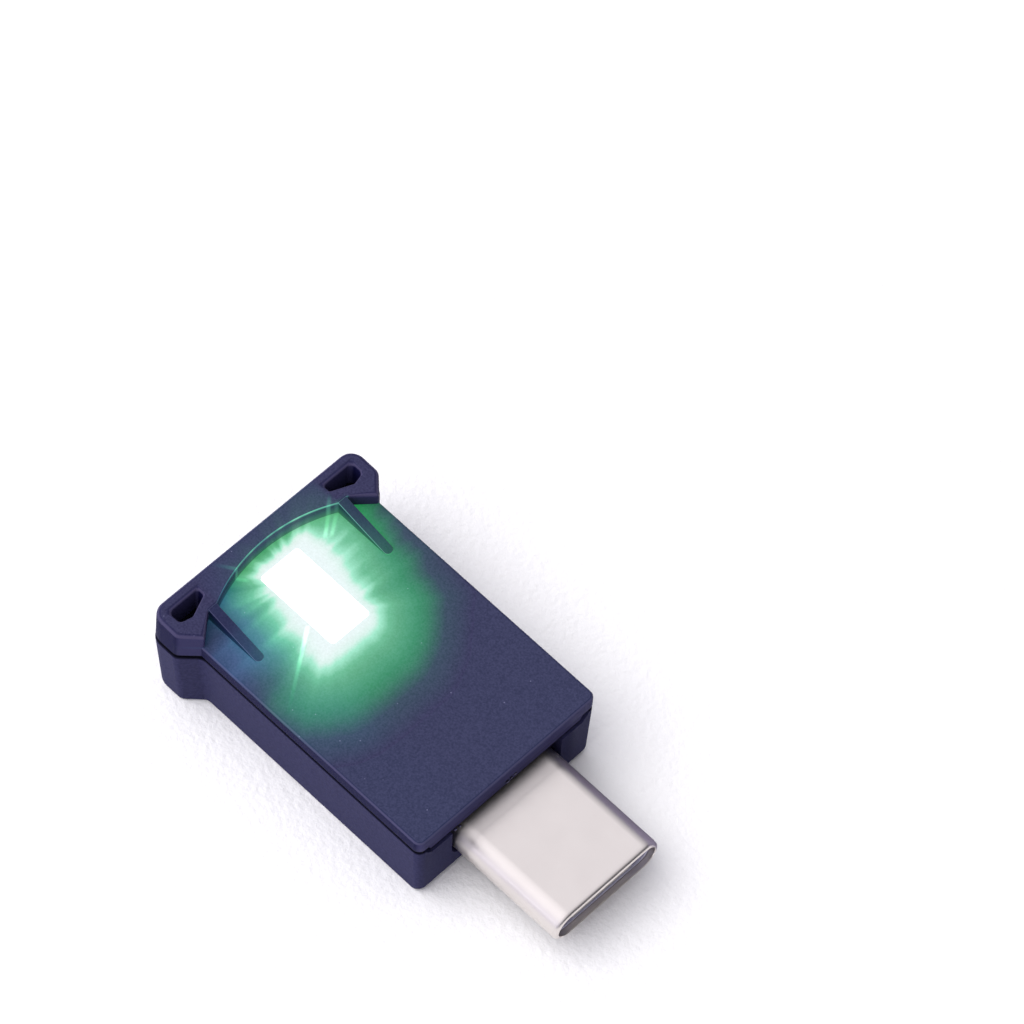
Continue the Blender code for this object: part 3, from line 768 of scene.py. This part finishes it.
def glow(tree, place, normal, noise):
    """Light scattered in the skin. Its colour and strength fall with the distance from the window
    along a green run and a blue one. Edges that face the lamps and a few thin rays add to it."""
    shift = (-WINDOW_X, 0, 0)
    flat = add(tree, "VectorMath", [place, (1, 1, 0), shift], operation="MULTIPLY_ADD")[0]
    parts = add(tree, "SeparateXYZ", [flat])
    height = add(tree, "SeparateXYZ", [place])["Z"]
    raised = add(tree, "MapRange", [height, COVER_TOP + 0.01, COVER_TOP + 0.03, 0.0, 1.0])[0]
    above = add(tree, "MapRange", [height, COVER_TOP + 0.02, COVER_TOP + 0.75, 0.0, 1.0])[0]
    distance, reach = glow_reach(tree, flat, parts)
    share = add(tree, "Math", [reach, GLOW_REACH], operation="DIVIDE")[0]
    green = add(tree, "ValToRGB", [share], GREEN_GLOW)["Color"]
    blue = add(tree, "ValToRGB", [share], BLUE_GLOW)["Color"]
    bluer = blue_share(tree, parts, above)
    colour = add(tree, "Mix", {0: bluer, "A": green, "B": blue}, data_type="RGBA")["Result"]

    fade = plate_share(tree, height, raised, above)
    sparkle = add(tree, "MapRange", [noise, 0.3, 0.75, 0.96, 1.04])[0]
    fade = add(tree, "Math", [fade, sparkle], operation="MULTIPLY")[0]
    fade = add(tree, "Math", [fade, edge_lines(tree, normal, distance)], operation="ADD")[0]
    for origin, angle, length, strength in RAYS:
        ray = ray_line(tree, flat, origin, angle, length, strength)
        fade = add(tree, "Math", [fade, ray], operation="ADD")[0]
    fade = add(tree, "Math", [fade, left_edge_share(tree, parts)], operation="MULTIPLY")[0]
    fade = add(tree, "Math", [fade, open_share(tree, parts, raised)], operation="MULTIPLY")[0]
    return add(tree, "VectorMath", {0: colour, "Scale": fade}, operation="SCALE")[0]


def glow_reach(tree, flat, parts):
    """The distance from the window's edge, and how far the light counts it as. The window's middle
    is taken to move to the left on the way to the plug. The light falls off slower on the right
    of the window and faster towards the end bar. Streaks fan out from the window's long axis and
    calm down with distance."""
    lean = add(tree, "MapRange", [parts["X"], -1.7, 8.3, -0.5, 1.7])[0]
    lean = add(tree, "CombineXYZ", {"Y": lean})[0]
    leant = add(tree, "VectorMath", [flat, lean], operation="ADD")[0]
    _, gap = clamped(tree, leant, WINDOW_LENGTH / 2, WINDOW_WIDTH / 2)
    distance = add(tree, "VectorMath", [gap], operation="LENGTH")["Value"]
    axis, spread = clamped(tree, flat, WINDOW_WIDTH / 2, 0.0)
    outward = add(tree, "VectorMath", [spread], operation="NORMALIZE")[0]
    forward = add(tree, "SeparateXYZ", [outward])["X"]

    fan = add(tree, "VectorMath", [axis, (0.22, 0.22, 0), outward], operation="MULTIPLY_ADD")[0]
    noise = {"Vector": fan, "Scale": 4.0, "Detail": 1.5, "Roughness": 0.5}
    streaks = add(tree, "TexNoise", noise)["Fac"]
    calm = add(tree, "MapRange", [forward, 0.1, 0.85, -1.8, -0.3])[0]
    far = add(tree, "MapRange", [distance, 0.9, 3.2, 1.0, 0.2])[0]
    calm = add(tree, "Math", [calm, far], operation="MULTIPLY")[0]
    centred = add(tree, "Math", [streaks, 0.5], operation="SUBTRACT")[0]
    stretch = add(tree, "Math", [centred, calm, 1.0], operation="MULTIPLY_ADD")[0]

    beside = add(tree, "MapRange", [parts["X"], 2.2, 0.4, 0.0, -0.26])[0]
    beyond = add(tree, "MapRange", [distance, 1.0, 2.2, 0.0, 1.0])[0]
    right = add(tree, "MapRange", [parts["Y"], -1.0, 1.0, 0.0, 1.0])[0]
    beside = add(tree, "Math", [beside, beyond], operation="MULTIPLY")[0]
    beside = add(tree, "Math", [beside, right], operation="MULTIPLY")[0]
    close = add(tree, "MapRange", [distance, 2.4, 4.2, 1.0, 0.0])[0]
    slower = add(tree, "Math", [beside, close, 1.0], operation="MULTIPLY_ADD")[0]
    back = add(tree, "MapRange", [forward, -0.9, -0.3, 1.9, 1.0])[0]
    reach = add(tree, "Math", [distance, slower], operation="MULTIPLY")[0]
    reach = add(tree, "Math", [reach, back], operation="MULTIPLY")[0]
    return distance, add(tree, "Math", [reach, stretch], operation="MULTIPLY")[0]


def blue_share(tree, parts, above):
    """How blue the light is: more towards the left lug, and more up the walls above the plate."""
    left = add(tree, "MapRange", [parts["Y"], -1.8, -4.0, 0.0, 1.0])[0]
    behind = add(tree, "MapRange", [parts["X"], 3.4, 0.6, 0.2, 1.0])[0]
    bluer = add(tree, "Math", [left, behind], operation="MULTIPLY")[0]
    cold = add(tree, "Math", [above, 0.75], operation="MULTIPLY")[0]
    return add(tree, "Math", [bluer, cold], operation="MAXIMUM")[0]


def plate_share(tree, height, raised, above):
    """Full on the plate, dim on what stands above it, and nothing down the side walls."""
    dim = add(tree, "MapRange", [above, 0.0, 1.0, 1.0, 0.25])[0]
    lower = add(tree, "MapRange", [raised, 0.0, 1.0, 1.0, 0.4])[0]
    dim = add(tree, "Math", [dim, lower], operation="MULTIPLY")[0]
    below = add(tree, "MapRange", [height, COVER_TOP - 0.2, COVER_TOP - 0.03, 0.0, 1.0])[0]
    return add(tree, "Math", [dim, below], operation="MULTIPLY")[0]


def left_edge_share(tree, parts):
    """Along the left edge the light is weaker beside the window's two ends."""
    flank = add(tree, "MapRange", [parts["Y"], -3.8, -5.6, 0.0, 1.0])[0]
    ahead = add(tree, "MapRange", [parts["X"], 0.6, 2.2, 0.0, 0.45])[0]
    again = add(tree, "MapRange", [parts["X"], 2.4, 4.4, 1.0, 0.0])[0]
    ahead = add(tree, "Math", [ahead, again], operation="MULTIPLY")[0]
    astern = add(tree, "MapRange", [parts["X"], -1.0, -1.9, 0.0, 0.6])[0]
    less = add(tree, "Math", [ahead, astern], operation="ADD")[0]
    less = add(tree, "Math", [less, flank], operation="MULTIPLY")[0]
    return add(tree, "Math", [1.0, less], operation="SUBTRACT")[0]


def open_share(tree, parts, raised):
    """No light gets into the lugs, or onto what stands above the plate past the ribs."""
    side = add(tree, "Math", [parts["Y"]], operation="ABSOLUTE")[0]
    in_lug = add(tree, "MapRange", [side, 4.5, 4.9, 0.0, 1.0])[0]
    at_end = add(tree, "MapRange", [parts["X"], -2.9, -3.3, 0.0, 1.0])[0]
    lug = add(tree, "Math", [in_lug, at_end], operation="MULTIPLY")[0]
    outside = add(tree, "MapRange", [side, 5.35, 5.6, 0.0, 1.0])[0]
    past_rib = add(tree, "Math", [outside, raised], operation="MULTIPLY")[0]
    dark = add(tree, "Math", [lug, past_rib], operation="MAXIMUM")[0]
    return add(tree, "Math", [1.0, dark], operation="SUBTRACT")[0]


def edge_lines(tree, normal, distance):
    """Rounded edges catch the lamps: strongest where the skin leans by 45 degrees towards the
    plug or towards -Y, and gone 6 mm from the window."""
    upright = add(tree, "SeparateXYZ", [normal])["Z"]
    level_share = add(tree, "Math", [1.0, upright], operation="SUBTRACT")[0]
    lean = add(tree, "Math", [upright, level_share], operation="MULTIPLY")[0]
    line = add(tree, "MapRange", [lean, 0.14, 0.24, 0.0, 0.9])[0]
    facing = add(tree, "VectorMath", [normal, (0.7, -0.7, 0.0)], operation="DOT_PRODUCT")["Value"]
    turned = add(tree, "MapRange", [facing, 0.1, 0.4, 0.0, 1.0])[0]
    near = add(tree, "MapRange", [distance, 3.0, 6.0, 1.0, 0.0])[0]
    line = add(tree, "Math", [line, turned], operation="MULTIPLY")[0]
    return add(tree, "Math", [line, near], operation="MULTIPLY")[0]


def ray_line(tree, flat, origin, angle, length, strength):
    """A thin ray from an origin by the window: full along its middle, fading to its end."""
    along = (math.cos(angle), math.sin(angle), 0)
    across = (-math.sin(angle), math.cos(angle), 0)
    away = add(tree, "VectorMath", [flat, (*origin, 0)], operation="SUBTRACT")[0]
    run = add(tree, "VectorMath", [away, along], operation="DOT_PRODUCT")["Value"]
    aside = add(tree, "VectorMath", [away, across], operation="DOT_PRODUCT")["Value"]
    aside = add(tree, "Math", [aside], operation="ABSOLUTE")[0]
    narrow = add(tree, "MapRange", [aside, 0.05, 0.16, strength, 0.0])[0]
    start = add(tree, "MapRange", [run, 0.0, 0.3, 0.0, 1.0])[0]
    end = add(tree, "MapRange", [run, length * 0.4, length, 1.0, 0.0])[0]
    ray = add(tree, "Math", [narrow, start], operation="MULTIPLY")[0]
    return add(tree, "Math", [ray, end], operation="MULTIPLY")[0]


def base_plastic():
    """The same ABS, from a smoother part of the mould: the same skin with a softer grain, and
    painted shade that turns it black at its top edge by the parting line."""
    made, tree, shader, place = new_material(
        "abs_moulded_satin",
        {"Roughness": 0.62, "IOR": 1.5, "Specular IOR Level": 0.06},
    )
    noise = grain(tree, shader, place, 0.16, 0.008)
    tint = add(tree, "ValToRGB", [noise], [(0.3, "#2a2a4a"), (0.7, "#353557")])["Color"]
    height = add(tree, "SeparateXYZ", [place])["Z"]
    top = PARTING_Z - GROOVE
    # Painted shade: black over the top of the wall where no light gets into the parting gap.
    gap = add(tree, "MapRange", [height, top - EASED, top, 0.0, 0.9])[0]
    dark = {0: gap, "A": tint, "B": linear(SHADE_BLACK)}
    tree.links.new(add(tree, "Mix", dark, data_type="RGBA")["Result"], shader["Base Color"])
    return made


def frosted_window():
    """Frosted polycarbonate with two lamps right behind it: it burns out to white."""
    made, tree, shader, place = new_material(
        "polycarbonate_frosted_lit",
        {"Roughness": 0.5, "IOR": 1.58, "Emission Strength": 1.4, "Base Color": linear("#e8fff5")},
    )
    noise = add(tree, "TexNoise", {"Vector": place, "Scale": 3.0})["Fac"]
    colour = add(tree, "ValToRGB", [noise], [(0.3, "#effff8"), (0.7, "#ffffff")])["Color"]
    tree.links.new(colour, shader["Emission Color"])
    return made


def nickel_steel():
    """Deep-drawn stainless strip with a satin nickel plate: a warm grey sheen, slightly uneven,
    with a few dark pinpricks in the plate, and swollen by a hair where it leaves the body."""
    made, tree, shader, place = new_material("steel_drawn_satin_nickel", {"Metallic": 1.0})
    noise = grain(tree, shader, place, 0.25, 0.0012)
    along = add(tree, "SeparateXYZ", [place])["X"]
    run = [along, FRONT_X - 0.6, FRONT_X + 0.9, 0.09, 0.0]
    swell = add(tree, "MapRange", run, interpolation_type="SMOOTHSTEP")[0]
    grained = shader["Normal"].links[0].from_socket
    settings = {"Strength": 1.0, "Distance": MM, "Height": swell, "Normal": grained}
    tree.links.new(add(tree, "Bump", settings)["Normal"], shader["Normal"])
    cloud = add(tree, "TexNoise", {"Vector": place, "Scale": 0.5, "Detail": 3.0})["Fac"]
    tint = add(tree, "ValToRGB", [cloud], [(0.3, "#dad4cf"), (0.7, "#ded8d3")])["Color"]
    pits = add(tree, "TexVoronoi", {"Vector": place, "Scale": 0.33})["Distance"]
    pit = add(tree, "Math", [pits, 0.02], operation="LESS_THAN")[0]
    pitted = {0: pit, "A": tint, "B": linear("#77706c")}
    tree.links.new(add(tree, "Mix", pitted, data_type="RGBA")["Result"], shader["Base Color"])
    rough = add(tree, "MapRange", [noise, 0.0, 1.0, 0.26, 0.36])[0]
    tree.links.new(rough, shader["Roughness"])
    return made


def moulding_grey():
    """Glass-filled liquid-crystal polymer, moulded: pale grey with a faint streaky sheen."""
    made, tree, shader, place = new_material("lcp_moulded_grey", {"Roughness": 0.42, "IOR": 1.6})
    noise = grain(tree, shader, place, 0.2, 0.004)
    tint = add(tree, "ValToRGB", [noise], [(0.3, "#a5a3ba"), (0.7, "#b4b2c6")])["Color"]
    tree.links.new(tint, shader["Base Color"])
    return made


def small_part(name, dark, light, roughness, metallic, size):
    """A plain small part's finish: two near tones mixed by a noise of this size, with its bumps."""
    made, tree, shader, place = new_material(name, {"Roughness": roughness, "Metallic": metallic})
    noise = grain(tree, shader, place, size, size * 0.02)
    tint = add(tree, "ValToRGB", [noise], [(0.3, dark), (0.7, light)])["Color"]
    tree.links.new(tint, shader["Base Color"])
    return made


def inner_materials():
    """The finish of each part inside, by the record's material slot."""
    tan = ("#8c6a48", "#9e7a55")
    return {
        "board_laminate": small_part("epoxy_laminate_masked", "#0d3d22", "#14522e", 0.4, 0.0, 0.4),
        "lamp_white": small_part("ppa_moulded_white", "#dcdad2", "#f0eee8", 0.5, 0.0, 0.2),
        "lamp_resin": small_part("silicone_cast_yellow", "#d9d68a", "#e8e5a0", 0.15, 0.0, 0.3),
        "chip_epoxy": small_part("epoxy_moulded_black", "#121214", "#1b1b1e", 0.6, 0.0, 0.1),
        "lead_tinned": small_part("copper_tinned", "#b9bbbd", "#cfd1d2", 0.35, 1.0, 0.1),
        "contact_gold": small_part("bronze_gold_plated", "#d9a441", "#e8b956", 0.25, 1.0, 0.2),
        "resistor_black": small_part("alumina_glazed_black", "#101013", "#1a1a1f", 0.3, 0.0, 0.2),
        "capacitor_ceramic": small_part("ceramic_sintered_tan", *tan, 0.5, 0.0, 0.15),
        "plug_moulding": moulding_grey(),
        "spring_steel": small_part("steel_stamped_spring", "#b8b6b4", "#cbc9c7", 0.3, 1.0, 0.2),
    }


# ---------------------------------------------------------------- stage


def camera_axes(azimuth, elevation, roll):
    """The camera's right, up and back directions, as the columns of a matrix."""
    turn = Matrix.Rotation(math.radians(azimuth), 3, "Z")
    tilt = Matrix.Rotation(math.radians(90 - elevation), 3, "X")
    spin = Matrix.Rotation(math.radians(roll), 3, "Z")
    return turn @ tilt @ spin


def add_camera():
    """A long lens from the front left, well above. The light lies low and left in the frame."""
    axes = camera_axes(azimuth=41.25, elevation=59.15, roll=4.49)
    right, up, back = 0.41, 17.58, 351.5
    place = Vector((FRONT_X, 0, 0)) + axes @ Vector((right, up, back))
    data = bpy.data.cameras.new("camera")
    data.lens = 218.1
    data.clip_start = 0.01
    data.clip_end = 20
    camera = bpy.data.objects.new("camera", data)
    camera.matrix_world = Matrix.Translation(place * MM) @ axes.to_4x4()
    bpy.context.collection.objects.link(camera)
    bpy.context.scene.camera = camera


def add_floor():
    """A plain white board: a wide disc under the object, with the soft grain of matt paper."""
    angle = np.linspace(0, 2 * math.pi, 65)[:-1]
    circle = np.column_stack([900 * np.cos(angle), 900 * np.sin(angle)])
    floor = solid("floor", [level(circle, -4.0), level(circle, 0.0)])
    settings = {"Roughness": 0.9, "Specular IOR Level": 0.1, "Base Color": linear("#f3f3f3")}
    made, tree, shader, place = new_material("paper_white_matt", settings)
    grain(tree, shader, place, 0.45, 0.08)
    floor.data.materials.append(made)


def add_light(name, place, size, power, colour):
    """A rectangular soft box, placed and sized in metres, that faces the object."""
    data = bpy.data.lights.new(name, "AREA")
    data.shape = "RECTANGLE"
    data.size, data.size_y = size
    data.energy = power
    data.color = linear(colour)[:3]
    light = bpy.data.objects.new(name, data)
    place = Vector(place)
    facing = (place - LIT_PLACE).to_track_quat("Z", "Y")
    light.matrix_world = Matrix.Translation(place) @ facing.to_matrix().to_4x4()
    bpy.context.collection.objects.link(light)
    return light


def add_flag():
    """A grey card on the right of the plug, seen only in reflections: it darkens that flank."""
    flag = solid("flag", [level(FLAG_PLAN, height) for height in (0.1, 4.5)])
    settings = {"Roughness": 0.9, "Specular IOR Level": 0.0, "Base Color": linear("#9c97b0")}
    made, *_ = new_material("card_grey_matt", settings)
    flag.data.materials.append(made)
    flag.visible_camera = False
    flag.visible_diffuse = False
    flag.visible_shadow = False


def add_lights():
    """Soft studio light: a pale room, white overhead and bluish at its foot, brightest behind on
    the left and dim towards the front right, with a soft box high on the left and a weak strip
    below it."""
    world = bpy.data.worlds.new("room")
    world.use_nodes = True
    tree = world.node_tree
    direction = add(tree, "TexCoord")["Generated"]
    slope = (-0.7, -0.5, 1.0)
    rise = add(tree, "VectorMath", [direction, slope], operation="DOT_PRODUCT")["Value"]
    rise = add(tree, "Math", [rise, 0.96, 0.29], operation="MULTIPLY_ADD")[0]
    strength = add(tree, "Math", [rise, 0.08], operation="MAXIMUM")[0]
    height = add(tree, "SeparateXYZ", [direction])["Z"]
    colour = add(tree, "ValToRGB", [height], [(0.05, "#e4e2fb"), (0.7, "#faf8ff")])["Color"]
    room = tree.nodes["Background"].inputs
    tree.links.new(colour, room["Color"])
    tree.links.new(strength, room["Strength"])
    bpy.context.scene.world = world
    left_box = add_light("left_box", (-0.24, -0.28, 0.60), (0.7, 0.7), 3.1, "#fffdfa")
    left_box.visible_glossy = False
    add_light("low_strip", (-0.25, -0.66, 0.18), (0.5, 0.14), 0.12, "#fffcf8")


# ---------------------------------------------------------------- the object

scene = bpy.context.scene
scene.view_settings.view_transform = "Standard"
add_camera()
add_floor()
add_flag()
add_lights()
lower_shell(base_plastic())
upper_shell(case_plastic())
lit_window(frosted_window())
plug_tube(nickel_steel())
inner = inner_materials()
tongue_housing(inner["plug_moulding"])
for part in frame["record"]["subparts"]:
    if part["material_slot"] in inner:
        data = frame["nodes"][part["node"]].data
        data.materials.clear()
        data.materials.append(inner[part["material_slot"]])
